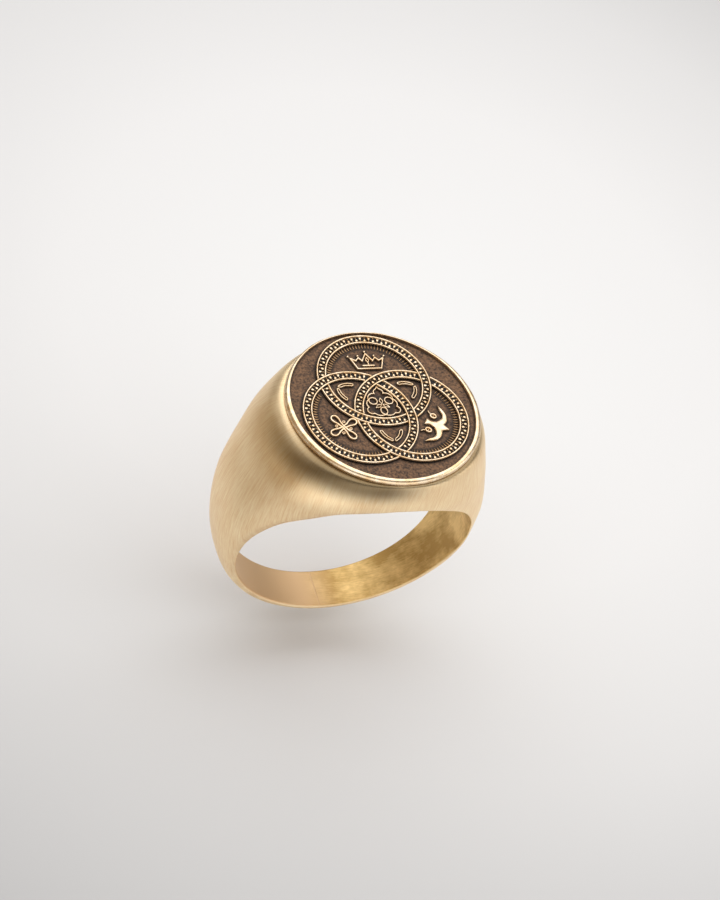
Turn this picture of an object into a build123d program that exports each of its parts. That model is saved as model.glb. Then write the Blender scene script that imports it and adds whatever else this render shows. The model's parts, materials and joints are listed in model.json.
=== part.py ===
from build123d import *
import os
from math import cos, sin, sqrt, radians, copysign

# Round-faced signet ring, millimetres.
# Origin: centre of the finger bore.  +Z points to the face, +Y along the finger.

# bore and body
bore_radius = 9.55
bore_reach = 12.0            # half length of the bore cutter
seat_z = 12.85               # flat top of the head, under the plate and the rim
# height, half length in X, half width in Y, lean of the head to -X of the bore
body_stations = [
    (-10.24, 0.9, 1.2, 0.0),
    (-10.00, 2.3, 1.75, 0.0),
    (-9.30, 4.45, 2.15, 0.0),
    (-8.10, 6.5, 2.7, -0.01),
    (-6.50, 8.2, 3.2, -0.05),
    (-4.60, 9.45, 3.85, -0.12),
    (-2.40, 10.35, 4.6, -0.2),
    (0.00, 10.88, 5.25, -0.3),
    (2.50, 11.02, 5.8, -0.4),
    (5.10, 10.8, 6.35, -0.46),
    (7.90, 10.12, 7.2, -0.5),
    (9.30, 9.75, 7.6, -0.5),
    (10.60, 9.34, 7.7, -0.47),
    (11.70, 8.93, 7.74, -0.38),
    (12.40, 8.53, 7.76, -0.3),
    (seat_z, 8.08, 7.76, -0.23),
]
square_low = 2.9             # super-ellipse exponent of the shank and shoulders
square_top = 2.15            # nearly an ellipse under the rim
square_from_z = 4.0
stations_around = 32
top_edge_radius = 0.3
# half width of the band where the bore cuts it, against height
band_edge = [
    (1.86, -bore_radius),
    (2.2, -0.6 * bore_radius),
    (2.78, -0.2 * bore_radius),
    (3.5, 0.15 * bore_radius),
    (4.38, 0.43 * bore_radius),
    (5.1, 0.6 * bore_radius),
    (6.25, 0.8 * bore_radius),
    (7.0, 0.93 * bore_radius),
    (7.62, bore_radius),
]
edge_flare = (9.2, 10.6)     # the side outline leaves the head here
seam_width = 0.16            # closing joint at the bottom of the shank

# face: plate and rim; the plate sits a little towards +Y, so the rim is thinner there
plate_x = -0.18
plate_y = 0.23
plate_radius = 7.55
plate_z = 13.22
rim_x = -0.14
rim_y = 0.15
rim_outer = 7.95
rim_foot = 7.87
rim_groove_z = 12.95
rim_belly_z = 13.1
rim_crest = 7.7
rim_top_z = 13.47

# relief: three interlaced bands round a common centre
motif_x = -0.23
motif_y = 0.34
ring_offset = 2.485
rail_outer = 4.64
rail_inner = 3.97
rail_width = 0.2
floor_height = 0.08
relief_height = 0.26
line_width = 0.14
charge_height = 0.24


def square_sign_power(value, power):
    return copysign(abs(value) ** power, value)


def square_at(z):
    share = (z - square_from_z) / (seat_z - square_from_z)
    share = max(0.0, min(1.0, share))
    return square_low + (square_top - square_low) * share


def body_section(z, half_x, half_y, lean):
    """One horizontal super-ellipse of the body."""
    power = 2 / square_at(z)
    points = []
    for step in range(stations_around):
        angle = radians(360 * step / stations_around)
        x = lean + half_x * square_sign_power(cos(angle), power)
        y = half_y * square_sign_power(sin(angle), power)
        points.append((x, y, z))
    return Face(Wire(Spline(*points, periodic=True)))


def make_body():
    sections = [body_section(*station) for station in body_stations]
    form = loft(sections)
    low = band_edge[0]
    right = [(low[0], low[1] - 2)] + band_edge + [edge_flare]
    left = [(-y, z) for y, z in reversed(right)]
    top = (edge_flare[0], seat_z + 1)
    outline = Wire([
        Line(right[0], right[1]),
        Spline(*right[1:]),
        Line(right[-1], top),
        Line(top, (-top[0], top[1])),
        Line((-top[0], top[1]), left[0]),
        Spline(*left[:-1]),
        Line(left[-2], left[-1]),
        Line(left[-1], right[0]),
    ])
    side = extrude(Plane.YZ * Face(outline), amount=2 * bore_reach, both=True)
    bore = Rot(90, 0, 0) * Cylinder(bore_radius, 2 * bore_reach)
    body = (form & side) - bore
    top_edges = body.edges().group_by(Axis.Z)[-1]
    body = fillet(top_edges, top_edge_radius)
    return body


def split_seam(body):
    """Cut the closing joint out of the bottom of the shank."""
    low_z = body_stations[0][0]
    slot = Pos(0, 0, low_z) * Box(seam_width, 10, 4)
    seam = body & slot
    return body - slot, seam


def make_plate():
    plate = Cylinder(plate_radius, plate_z - seat_z, align=(Align.CENTER, Align.CENTER, Align.MIN))
    return Pos(plate_x, plate_y, seat_z) * plate


def make_rim():
    foot = (rim_foot, seat_z)
    groove = (rim_foot, rim_groove_z)
    belly = (rim_outer, rim_belly_z)
    shoulder = (rim_outer - 0.06, rim_belly_z + 0.2)
    crest = (rim_crest, rim_top_z)
    outline = Wire([
        Line((0, seat_z), foot),
        Line(foot, groove),
        Line(groove, belly),
        ThreePointArc(belly, shoulder, crest),
        Line(crest, (0, rim_top_z)),
        Line((0, rim_top_z), (0, seat_z)),
    ])
    disc = Pos(rim_x, rim_y, 0) * revolve(Plane.XZ * Face(outline), axis=Axis.Z)
    return disc - Pos(plate_x, plate_y, seat_z) * Cylinder(plate_radius, 4)


def ring_centre(angle):
    x = motif_x + ring_offset * cos(radians(angle))
    y = motif_y + ring_offset * sin(radians(angle))
    return x, y


def flat_ring(angle, r_in, r_out, height):
    x, y = ring_centre(angle)
    sketch = Pos(x, y) * (Circle(r_out) - Circle(r_in))
    return extrude(Pos(0, 0, plate_z) * sketch, amount=height)


band_in = rail_inner - rail_width / 2
band_out = rail_outer + rail_width / 2


def make_band(angle, over_angle):
    """A floor between two rails, cut away where the next band crosses over it."""
    floor = flat_ring(angle, band_in, band_out, floor_height)
    inner = flat_ring(angle, band_in, band_in + rail_width, relief_height)
    outer = flat_ring(angle, band_out - rail_width, band_out, relief_height)
    crossing = flat_ring(over_angle, band_in, band_out, relief_height)
    return (floor + inner + outer) - crossing


def place(sketch, turn=0):
    """Stand a flat drawing on the plate, turned about the motif's centre."""
    local = Pos(motif_x, motif_y, plate_z) * Rot(0, 0, turn)
    return extrude(local * sketch, amount=charge_height)


def stroke(points, closed=False, width=line_width):
    """Straight strokes with round ends along a run of points."""
    run = list(points)
    if closed:
        run.append(run[0])
    drawing = Sketch()
    for start, end in zip(run, run[1:]):
        centre = ((start[0] + end[0]) / 2, (start[1] + end[1]) / 2)
        drawing += SlotCenterPoint(centre, end, width)
    return drawing


def make_crown():
    half = [(0, 5.3), (0.44, 4.55), (0.7, 4.88), (0.98, 4.57), (1.4, 4.84), (1.0, 3.74)]
    mirrored = [(-x, y) for x, y in reversed(half[1:])]
    drawing = stroke(half + mirrored, closed=True)
    drawing += stroke([(-0.55, 4.08), (0.55, 4.08)])
    drawing += stroke([(0, 4.08), (0, 4.38)])
    drawing += stroke([(0, 4.88), (0.14, 4.6), (0, 4.38), (-0.14, 4.6)], closed=True, width=0.1)
    crown = place(drawing)
    for x, y in [(0, 5.52), (0.69, 5.1), (-0.69, 5.1), (1.52, 5.05), (-1.52, 5.05)]:
        crown += place(Pos(x, y) * Circle(0.09))
    return crown


def make_cross():
    """Four hollow club-shaped arms; the cross stands upright to its own ring."""
    centre_u = 4.42
    arm = [(0.12, 0.05), (0.5, 0.12), (0.85, 0.26), (1.2, 0.22), (1.32, 0.0)]
    outline = arm + [(x, -y) for x, y in reversed(arm[:-1])]
    drawing = Sketch()
    for quarter in range(4):
        local = Pos(centre_u, 0) * Rot(0, 0, 90 * quarter)
        drawing += local * stroke(outline, closed=True, width=0.13)
        drawing += local * Rot(0, 0, 45) * (Pos(0.55, 0) * (Circle(0.15) - Circle(0.07)))
    return place(drawing, 210)


def make_dove():
    """A descending bird, wings spread, its head pointing out of the ring."""
    half = [
        (5.68, 0.0), (5.17, 0.33), (5.27, 0.8), (5.12, 1.3), (4.8, 1.66), (4.13, 2.05),
        (4.36, 1.66), (4.7, 1.3), (4.78, 0.85), (4.45, 0.3), (4.05, 0.2), (3.66, 0.32),
    ]
    outline = half + [(x, -y) for x, y in reversed(half[1:])]
    drawing = make_face(Polyline(*outline, close=True))
    curl = Circle(0.38) - Pos(-0.1, 0.04) * Circle(0.24)
    drawing += Pos(4.05, 0.8) * curl
    drawing += Pos(4.05, -0.8) * curl
    return place(drawing, -30)


def make_leaves():
    """Two hollow leaves in a V in each lens between neighbouring rings."""
    outer = [(0.1, -3.86), (0.62, -3.42), (0.98, -2.66)]
    inner = [(0.72, -2.72), (0.44, -3.2), (0.1, -3.6)]
    drawing = Sketch()
    for mirror in (1, -1):
        run = [(mirror * x, y) for x, y in outer + inner]
        drawing += stroke(run, closed=True, width=0.1)
    leaves = Part()
    for turn in (0, 120, 240):
        leaves += place(drawing, turn)
    return leaves


def make_rosette():
    half = [
        (0, 1.8), (0.34, 1.45), (0.38, 1.16), (0.85, 1.05), (1.0, 0.62), (1.25, 0.45),
        (1.36, 0.15), (1.2, -0.25), (1.5, -0.5), (1.56, -0.88), (0.86, -0.92), (0.45, -1.22),
    ]
    outline = half + [(0, -1.15)] + [(-x, y) for x, y in reversed(half[1:])]
    return place(stroke(outline, closed=True, width=0.12))


def make_rosette_rings():
    drawing = Sketch()
    for x, y in [(-0.68, 0.38), (0.68, 0.38), (0, -0.66)]:
        drawing += Pos(x, y) * (Circle(0.36) - Circle(0.25))
    return place(drawing)


def make_rosette_bud():
    """Three pointed petals between the small rings."""
    drawing = Sketch()
    petal = [(0.0, 0.08), (0.16, 0.32), (0.0, 0.66), (-0.16, 0.32)]
    for turn in (0, 120, 240):
        drawing += Rot(0, 0, turn) * stroke(petal, closed=True, width=0.09)
    return place(Pos(0, 0.02) * drawing)


body, seam = split_seam(make_body())
pieces = {
    "ring_body": body,
    "shank_solder_seam": seam,
    "face_plate": make_plate(),
    "bezel_rim": make_rim(),
    "band_crown_ring": make_band(90, 210),
    "band_cross_ring": make_band(210, 330),
    "band_dove_ring": make_band(330, 90),
    "crown_charge": make_crown(),
    "cross_charge": make_cross(),
    "dove_charge": make_dove(),
    "lens_leaves": make_leaves(),
    "rosette_frame": make_rosette(),
    "rosette_rings": make_rosette_rings(),
    "rosette_petals": make_rosette_bud(),
}

os.makedirs("parts", exist_ok=True)
for name, piece in pieces.items():
    export_step(piece, f"parts/{name}.step")
    print(name, len(piece.solids()), round(piece.volume, 3))
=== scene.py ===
import bpy
import json
import math
import numpy as np
from mathutils import Matrix, Vector, geometry, kdtree, noise

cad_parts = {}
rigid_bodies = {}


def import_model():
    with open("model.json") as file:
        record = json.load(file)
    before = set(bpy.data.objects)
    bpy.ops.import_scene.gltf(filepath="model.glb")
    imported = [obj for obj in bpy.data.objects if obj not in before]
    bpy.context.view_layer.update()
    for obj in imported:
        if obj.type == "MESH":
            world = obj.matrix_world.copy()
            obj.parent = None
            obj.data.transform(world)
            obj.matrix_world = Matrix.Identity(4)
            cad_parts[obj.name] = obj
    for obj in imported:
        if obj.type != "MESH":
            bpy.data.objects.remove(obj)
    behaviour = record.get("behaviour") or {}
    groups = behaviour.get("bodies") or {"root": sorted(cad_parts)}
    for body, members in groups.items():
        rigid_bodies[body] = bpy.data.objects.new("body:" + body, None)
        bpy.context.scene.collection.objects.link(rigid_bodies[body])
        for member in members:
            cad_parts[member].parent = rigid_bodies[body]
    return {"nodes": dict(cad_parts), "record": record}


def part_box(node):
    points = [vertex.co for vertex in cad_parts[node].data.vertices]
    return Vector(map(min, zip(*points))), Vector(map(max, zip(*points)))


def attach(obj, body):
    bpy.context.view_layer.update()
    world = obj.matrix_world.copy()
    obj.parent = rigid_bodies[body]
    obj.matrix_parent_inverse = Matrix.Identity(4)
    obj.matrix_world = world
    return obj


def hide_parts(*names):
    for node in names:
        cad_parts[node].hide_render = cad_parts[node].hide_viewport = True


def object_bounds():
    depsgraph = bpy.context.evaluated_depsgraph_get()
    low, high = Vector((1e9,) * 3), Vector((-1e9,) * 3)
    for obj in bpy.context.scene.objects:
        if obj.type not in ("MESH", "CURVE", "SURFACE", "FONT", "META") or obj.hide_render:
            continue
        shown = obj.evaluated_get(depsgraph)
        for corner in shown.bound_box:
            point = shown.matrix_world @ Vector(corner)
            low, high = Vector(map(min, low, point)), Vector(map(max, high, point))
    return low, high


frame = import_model()
cadLow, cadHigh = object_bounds()
mm = 0.001
print("frame loaded:", len(frame["nodes"]), "nodes")


# heights and places that every piece shares, read from the frame, in millimetres
def boxOf(node):
    low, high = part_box(node)
    return np.array(low) / mm, np.array(high) / mm


plateLow, plateHigh = boxOf("face_plate")
rimLow, rimHigh = boxOf("bezel_rim")
seamLow, seamHigh = boxOf("shank_solder_seam")
_, bandHigh = boxOf("band_crown_ring")
boreRadius = frame["record"]["mounts"][0]["dims"]["r_mm"]
seatHeight = plateLow[2]
plateTop = plateHigh[2]
reliefTop = bandHigh[2]
plateCentre = (plateLow[:2] + plateHigh[:2]) / 2
rimCentre = (rimLow[:2] + rimHigh[:2]) / 2
rimRadius = (rimHigh[0] - rimLow[0]) / 2
plateRadius = (plateHigh[0] - plateLow[0]) / 2
seamHalf = (seamHigh[0] - seamLow[0]) / 2


def smoothStep(value, low, high):
    share = np.clip((value - low) / (high - low), 0, 1)
    return share * share * (3 - 2 * share)


def softMax(a, b, blend):
    near = np.maximum(blend - np.abs(a - b), 0) / blend
    return np.maximum(a, b) + near * near * blend / 4


def splineThrough(knots, values):
    # natural cubic spline, with straight ends
    x = np.array(knots, float)
    y = np.array(values, float)
    count = len(x)
    step = np.diff(x)
    matrix = np.eye(count)
    right = np.zeros(count)
    for i in range(1, count - 1):
        matrix[i, i - 1:i + 2] = step[i - 1], 2 * (step[i - 1] + step[i]), step[i]
        right[i] = 6 * ((y[i + 1] - y[i]) / step[i] - (y[i] - y[i - 1]) / step[i - 1])
    bend = np.linalg.solve(matrix, right)

    def evaluate(at):
        at = np.clip(at, x[0], x[-1])
        i = np.clip(np.searchsorted(x, at) - 1, 0, count - 2)
        h = step[i]
        a = (x[i + 1] - at) / h
        b = (at - x[i]) / h
        curve = (a ** 3 - a) * bend[i] + (b ** 3 - b) * bend[i + 1]
        return a * y[i] + b * y[i + 1] + curve * h * h / 6

    return evaluate


def meshFrom(name, points, faces, smooth=True):
    # points in millimetres
    mesh = bpy.data.meshes.new(name)
    mesh.from_pydata((np.array(points) * mm).tolist(), [], [list(f) for f in faces])
    mesh.polygons.foreach_set("use_smooth", [smooth] * len(mesh.polygons))
    mesh.update()
    return mesh


def addObject(name, data):
    thing = bpy.data.objects.new(name, data)
    bpy.context.scene.collection.objects.link(thing)
    return thing


def makePiece(name, points, faces, material, normals=None):
    # the object stays at the origin with its place in its mesh
    mesh = meshFrom(name, points, faces)
    if normals is not None:
        mesh.normals_split_custom_set_from_vertices(normals.tolist())
    piece = addObject(name, mesh)
    piece.data.materials.append(material)
    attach(piece, "root")
    return piece


def gridFaces(rows, columns, wrapRows=False, wrapColumns=False, start=0):
    lastRow = rows if wrapRows else rows - 1
    lastColumn = columns if wrapColumns else columns - 1
    faces = []
    for i in range(lastRow):
        for j in range(lastColumn):
            a = start + i * columns + j
            b = start + i * columns + (j + 1) % columns
            c = start + ((i + 1) % rows) * columns + (j + 1) % columns
            d = start + ((i + 1) % rows) * columns + j
            faces.append((a, b, c, d))
    return faces


def storeAttribute(piece, name, values):
    values = np.asarray(values, np.float32)
    kind = "FLOAT_VECTOR" if values.ndim == 2 else "FLOAT"
    attribute = piece.data.attributes.new(name, kind, "POINT")
    attribute.data.foreach_set("vector" if values.ndim == 2 else "value", values.ravel())


def toLinear(hexColour):
    parts = [int(hexColour[i:i + 2], 16) / 255 for i in (1, 3, 5)]
    linear = [p / 12.92 if p <= 0.04045 else ((p + 0.055) / 1.055) ** 2.4 for p in parts]
    return (*linear, 1.0)


def addNode(tree, kind, settings=None, links=None):
    node = tree.nodes.new(kind)
    for key, value in (settings or {}).items():
        if key == "stops":
            ramp = node.color_ramp
            for i, (place, colour) in enumerate(value):
                stop = ramp.elements[i] if i < 2 else ramp.elements.new(place)
                stop.position = place
                stop.color = colour
        elif isinstance(key, str) and hasattr(node, key):
            setattr(node, key, value)
        else:
            node.inputs[key].default_value = value
    for key, source in (links or {}).items():
        tree.links.new(source, node.inputs[key])
    return node


def newMaterial(name):
    material = bpy.data.materials.new(name)
    material.use_nodes = True
    tree = material.node_tree
    tree.nodes.clear()
    return material, tree


brushing = {
    "lineSpacing": 0.09,       # mm between brush lines, coarser than real so that they show
    "depth": 0.0055,           # mm
    "light": "#ffeac2",
    "deep": "#edca9a",
    "inside": "#f6d89a",
    "insideDark": "#bf9d60",
    "pinkInside": "#d8b890",
    "paintedRimShade": "#5c4a2e",      # painted shade and dark reflection under the rim
}


def makeBrushedGold():
    # yellow brass, satin brushed: broad soft reflections broken into fine lines
    material, tree = newMaterial("satinBrushedGold")
    place = addNode(tree, "ShaderNodeAttribute", {"attribute_name": "brush"})
    lines = addNode(tree, "ShaderNodeTexNoise", {"Scale": 1 / brushing["lineSpacing"], "Detail": 3.0,
                                                 "Roughness": 0.65}, {"Vector": place.outputs["Vector"]})
    space = addNode(tree, "ShaderNodeTexCoord")
    cloud = addNode(tree, "ShaderNodeTexNoise", {"Scale": 300.0, "Detail": 4.0, "Roughness": 0.6},
                    {"Vector": space.outputs["Object"]})
    inside = addNode(tree, "ShaderNodeAttribute", {"attribute_name": "boreWall"})
    pink = addNode(tree, "ShaderNodeAttribute", {"attribute_name": "pinkSide"})
    rimShadeMask = addNode(tree, "ShaderNodeAttribute", {"attribute_name": "paintedRimShade"})
    spread = addNode(tree, "ShaderNodeMath", {"operation": "MULTIPLY_ADD", 1: 0.6},
                     {0: cloud.outputs["Fac"], 2: lines.outputs["Fac"]})
    outer = addNode(tree, "ShaderNodeValToRGB", {
        "stops": [(0.0, toLinear(brushing["deep"])), (1.0, toLinear(brushing["light"]))]})
    shade = addNode(tree, "ShaderNodeMapRange", {"From Min": 0.55, "From Max": 1.0},
                    {"Value": spread.outputs[0]})
    tree.links.new(shade.outputs[0], outer.inputs["Fac"])
    blend = addNode(tree, "ShaderNodeMath", {"operation": "MULTIPLY_ADD", 1: 0.3},
                    {0: lines.outputs["Fac"], 2: cloud.outputs["Fac"]})
    patch = addNode(tree, "ShaderNodeMapRange", {"From Min": 0.54, "From Max": 0.8},
                    {"Value": blend.outputs[0]})
    patchy = addNode(tree, "ShaderNodeMix", {"data_type": "RGBA", 6: toLinear(brushing["insideDark"]),
                                             7: toLinear(brushing["inside"])}, {0: patch.outputs[0]})
    inner = addNode(tree, "ShaderNodeMix", {"data_type": "RGBA", 7: toLinear(brushing["pinkInside"])},
                    {0: pink.outputs["Fac"], 6: patchy.outputs[2]})
    colour = addNode(tree, "ShaderNodeMix", {"data_type": "RGBA"},
                     {0: inside.outputs["Fac"], 6: outer.outputs["Color"], 7: inner.outputs[2]})
    # mixes in the painted shade and dark reflection under the rim
    dull = addNode(tree, "ShaderNodeMix", {"data_type": "RGBA", 7: toLinear(brushing["paintedRimShade"])},
                   {0: rimShadeMask.outputs["Fac"], 6: colour.outputs[2]})
    outerRough = addNode(tree, "ShaderNodeMapRange", {"From Min": 0.3, "From Max": 0.7, "To Min": 0.37,
                                                      "To Max": 0.48}, {"Value": cloud.outputs["Fac"]})
    rough = addNode(tree, "ShaderNodeMix", {"data_type": "FLOAT", 3: 0.55},
                    {0: inside.outputs["Fac"], 2: outerRough.outputs[0]})
    bump = addNode(tree, "ShaderNodeBump", {"Strength": 1.0, "Distance": brushing["depth"] * mm},
                   {"Height": lines.outputs["Fac"]})
    shader = addNode(tree, "ShaderNodeBsdfPrincipled", {"Metallic": 1.0},
                     {"Base Color": dull.outputs[2], "Roughness": rough.outputs[0],
                      "Normal": bump.outputs[0]})
    addNode(tree, "ShaderNodeOutputMaterial", {}, {"Surface": shader.outputs[0]})
    return material


reliefGold = {"shade": "#e2bf90", "light": "#fde9cc"}


def goldTone(tree, space):
    # slow change from bare to slightly tarnished brass
    cloud = addNode(tree, "ShaderNodeTexNoise", {"Scale": 1500.0, "Detail": 3.0},
                    {"Vector": space.outputs["Object"]})
    tone = addNode(tree, "ShaderNodeValToRGB", {
        "stops": [(0.3, toLinear(reliefGold["shade"])), (0.65, toLinear(reliefGold["light"]))]},
        {"Fac": cloud.outputs["Fac"]})
    return cloud, tone


def makePolishedGold():
    # the same brass rubbed bright where a thumb or a buff reaches it
    material, tree = newMaterial("buffedGoldRelief")
    space = addNode(tree, "ShaderNodeTexCoord")
    cloud, tone = goldTone(tree, space)
    rough = addNode(tree, "ShaderNodeMapRange", {"From Min": 0.3, "From Max": 0.7, "To Min": 0.24,
                                                 "To Max": 0.36}, {"Value": cloud.outputs["Fac"]})
    shader = addNode(tree, "ShaderNodeBsdfPrincipled", {"Metallic": 1.0},
                     {"Base Color": tone.outputs["Color"], "Roughness": rough.outputs[0]})
    addNode(tree, "ShaderNodeOutputMaterial", {}, {"Surface": shader.outputs[0]})
    return material


def makeDarkGround():
    # brass blackened with liver of sulphur over a sand-blasted face: brown, dull, mottled
    material, tree = newMaterial("oxidisedGround")
    space = addNode(tree, "ShaderNodeTexCoord")
    grit = addNode(tree, "ShaderNodeTexNoise", {"Scale": 5200.0, "Detail": 4.0, "Roughness": 0.65},
                   {"Vector": space.outputs["Object"]})
    patch = addNode(tree, "ShaderNodeTexNoise", {"Scale": 700.0, "Detail": 3.0},
                    {"Vector": space.outputs["Object"]})
    soot = addNode(tree, "ShaderNodeAttribute", {"attribute_name": "soot"})
    both = addNode(tree, "ShaderNodeMath", {"operation": "MULTIPLY_ADD", 1: 0.85},
                   {0: grit.outputs["Fac"]})
    half = addNode(tree, "ShaderNodeMath", {"operation": "MULTIPLY", 1: 0.15},
                   {0: patch.outputs["Fac"]})
    tree.links.new(half.outputs[0], both.inputs[2])
    brown = addNode(tree, "ShaderNodeValToRGB", {
        "stops": [(0.36, toLinear("#27180e")), (0.64, toLinear("#7f5d40"))]},
        {"Fac": both.outputs[0]})
    colour = addNode(tree, "ShaderNodeMix", {"data_type": "RGBA", 7: toLinear("#1a0e06")},
                     {0: soot.outputs["Fac"], 6: brown.outputs["Color"]})
    bump = addNode(tree, "ShaderNodeBump", {"Strength": 0.6, "Distance": 0.02 * mm},
                   {"Height": grit.outputs["Fac"]})
    shader = addNode(tree, "ShaderNodeBsdfPrincipled", {"Metallic": 0.35, "Roughness": 0.55},
                     {"Base Color": colour.outputs[2], "Normal": bump.outputs[0]})
    addNode(tree, "ShaderNodeOutputMaterial", {}, {"Surface": shader.outputs[0]})
    return material


def makeBandMetal():
    # polished rails above a floor left black: the finish follows the height above the plate
    material, tree = newMaterial("bandRailAndFloor")
    space = addNode(tree, "ShaderNodeTexCoord")
    split = addNode(tree, "ShaderNodeSeparateXYZ", {}, {0: space.outputs["Object"]})
    floorTop = (plateTop + 0.09) * mm
    rail = addNode(tree, "ShaderNodeMapRange", {"From Min": floorTop, "From Max": floorTop + 0.08 * mm},
                   {"Value": split.outputs["Z"]})
    _, gold = goldTone(tree, space)
    colour = addNode(tree, "ShaderNodeMix", {"data_type": "RGBA", 6: toLinear("#120a06")},
                     {0: rail.outputs[0], 7: gold.outputs["Color"]})
    metal = addNode(tree, "ShaderNodeMapRange", {"To Min": 0.3, "To Max": 1.0},
                    {"Value": rail.outputs[0]})
    rough = addNode(tree, "ShaderNodeMapRange", {"To Min": 0.6, "To Max": 0.27},
                    {"Value": rail.outputs[0]})
    shader = addNode(tree, "ShaderNodeBsdfPrincipled", {},
                     {"Base Color": colour.outputs[2], "Metallic": metal.outputs[0],
                      "Roughness": rough.outputs[0]})
    addNode(tree, "ShaderNodeOutputMaterial", {}, {"Surface": shader.outputs[0]})
    return material


def makeWornGold():
    # brass with part of its black rubbed off
    material, tree = newMaterial("halfWornGold")
    addNode(tree, "ShaderNodeOutputMaterial", {}, {"Surface": addNode(tree, "ShaderNodeBsdfPrincipled", {
        "Metallic": 0.9, "Roughness": 0.4, "Base Color": toLinear("#b08d66")}).outputs[0]})
    return material


brushedGold = makeBrushedGold()
wornGold = makeWornGold()
polishedGold = makePolishedGold()
darkGround = makeDarkGround()
bandMetal = makeBandMetal()
print("materials ready")


# height, half length along X, half width along Y, lean to -X
bodyShape = {
    "stations": [
        (-10.24, 0.9, 1.2, 0.0),
        (-10.00, 2.3, 1.75, 0.0),
        (-9.30, 4.45, 2.15, 0.0),
        (-8.10, 6.5, 2.7, -0.01),
        (-6.50, 8.2, 3.2, -0.05),
        (-4.60, 9.45, 3.85, -0.12),
        (-2.40, 10.35, 4.6, -0.2),
        (0.00, 10.88, 5.25, -0.3),
        (2.50, 11.02, 5.8, -0.4),
        (5.10, 10.8, 6.35, -0.46),
        (7.90, 10.12, 7.2, -0.5),
        (9.30, 9.75, 7.6, -0.5),
        (10.60, 9.34, 7.7, -0.47),
        (11.70, 8.93, 7.74, -0.38),
        (12.40, 8.53, 7.76, -0.3),
        (12.85, 8.08, 7.76, -0.23),
    ],
    "footRadius": 10.24,
    # half width where the bore cuts the band, against height in bore radii
    "bandEdge": [1.86, 2.2, 2.78, 3.5, 4.38, 5.1, 6.25, 7.0, 7.62],
    "bandEdgeAt": [-1.0, -0.6, -0.2, 0.15, 0.43, 0.6, 0.8, 0.93, 1.0],
    "skew": 0.25,              # the front edge stands out more on the right
    "edgeThickness": 0.42,
    "squareLow": 2.9,
    "squareTop": 2.15,
    "squareFrom": 4.0,
    "rounding": 0.24,
    "seatRounding": 0.28,
    "columns": 520,
    "rows": 164,
    "rays": 900,
}

stationTable = np.array(bodyShape["stations"])
halfLengthAt = splineThrough(stationTable[:, 0], stationTable[:, 1])
halfWidthAt = splineThrough(stationTable[:, 0], stationTable[:, 2])
leanAt = splineThrough(stationTable[:, 0], stationTable[:, 3])
bandEdgeAt = splineThrough(np.array(bodyShape["bandEdgeAt"]) * boreRadius, bodyShape["bandEdge"])


def shankOutline():
    # outer radius of the front view against the angle from straight down, both sides
    angles = [0.0]
    radii = [bodyShape["footRadius"]]
    for height, halfLength, _, lean in bodyShape["stations"][2:11]:
        for side in (-1, 1):
            x = lean + side * halfLength
            angles.append(math.atan2(x, -height))
            radii.append(math.hypot(x, height))
    order = np.argsort(angles)
    return splineThrough(np.array(angles)[order], np.array(radii)[order])


outlineAt = shankOutline()


def bodyField(x, y, z):
    # below zero inside the metal, about a distance in millimetres outside it
    radius = np.sqrt(x * x + z * z)
    angle = np.arctan2(x, -z)
    width = np.abs(y)
    square = bodyShape["squareLow"]
    skew = bodyShape["skew"] * smoothStep(x, 1.0, 6.0) * smoothStep(z, -3.0, 3.0) * (y < 0)
    edge = bandEdgeAt(z) + skew
    crest = outlineAt(angle) - boreRadius - bodyShape["edgeThickness"]
    edgeAtAngle = bandEdgeAt(-boreRadius * np.cos(angle))
    arch = crest * (1 - (width / (edgeAtAngle + skew)) ** square)
    dShape = radius - boreRadius - bodyShape["edgeThickness"] - arch
    above = (z - bodyShape["squareFrom"]) / (seatHeight - bodyShape["squareFrom"])
    power = square + (bodyShape["squareTop"] - square) * np.clip(above, 0, 1)
    fromAxis = x - leanAt(z)
    reach = np.sqrt(fromAxis ** 2 + y * y) + 1e-6
    egg = (np.abs(fromAxis) / np.maximum(halfLengthAt(z), 0.5)) ** power
    egg = (egg + (width / np.maximum(halfWidthAt(z), 0.5)) ** power) ** (1 / power)
    eggShape = (1 - 1 / np.maximum(egg, 0.05)) * reach
    share = smoothStep(z, -4.5, 3.0)
    outer = dShape * (1 - share) + eggShape * share
    flare = np.maximum(z - boreRadius, 0) * 3.0
    side = width - edge - flare
    field = softMax(outer, z - seatHeight, bodyShape["seatRounding"])
    field = softMax(field, side, bodyShape["rounding"])
    return softMax(field, boreRadius - radius, bodyShape["rounding"])


def bodySections(angles):
    # closed loops round the band, one for each angle from straight down
    rays = bodyShape["rays"]
    out = np.linspace(0, 1, 400)[None, :] * 7.0
    dirX = np.sin(angles)[:, None]
    dirZ = -np.cos(angles)[:, None]
    radial = boreRadius + out
    inside = bodyField(dirX * radial, np.zeros_like(radial), dirZ * radial) < 0
    last = out.shape[1] - 1 - np.argmax(inside[:, ::-1], axis=1)
    thickness = out[0, last]
    centre = boreRadius + 0.5 * thickness
    reachY = 0.75 * thickness + 7.0 * smoothStep(thickness, 1.0, 3.0) + 1.5
    turn = np.linspace(0, 2 * math.pi, rays, endpoint=False)
    stepR = -np.cos(turn)[None, :] * (thickness * 0.5)[:, None]
    stepY = np.sin(turn)[None, :] * reachY[:, None]
    length = np.sqrt(stepR ** 2 + stepY ** 2)
    stepR = stepR / length
    stepY = stepY / length
    low = np.zeros_like(stepR)
    high = np.full_like(stepR, 11.0)
    for _ in range(26):
        middle = (low + high) / 2
        r = centre[:, None] + stepR * middle
        solid = bodyField(dirX * r, stepY * middle, dirZ * r) < 0
        low = np.where(solid, middle, low)
        high = np.where(solid, high, middle)
    r = centre[:, None] + stepR * low
    y = stepY * low
    return r, y


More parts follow.
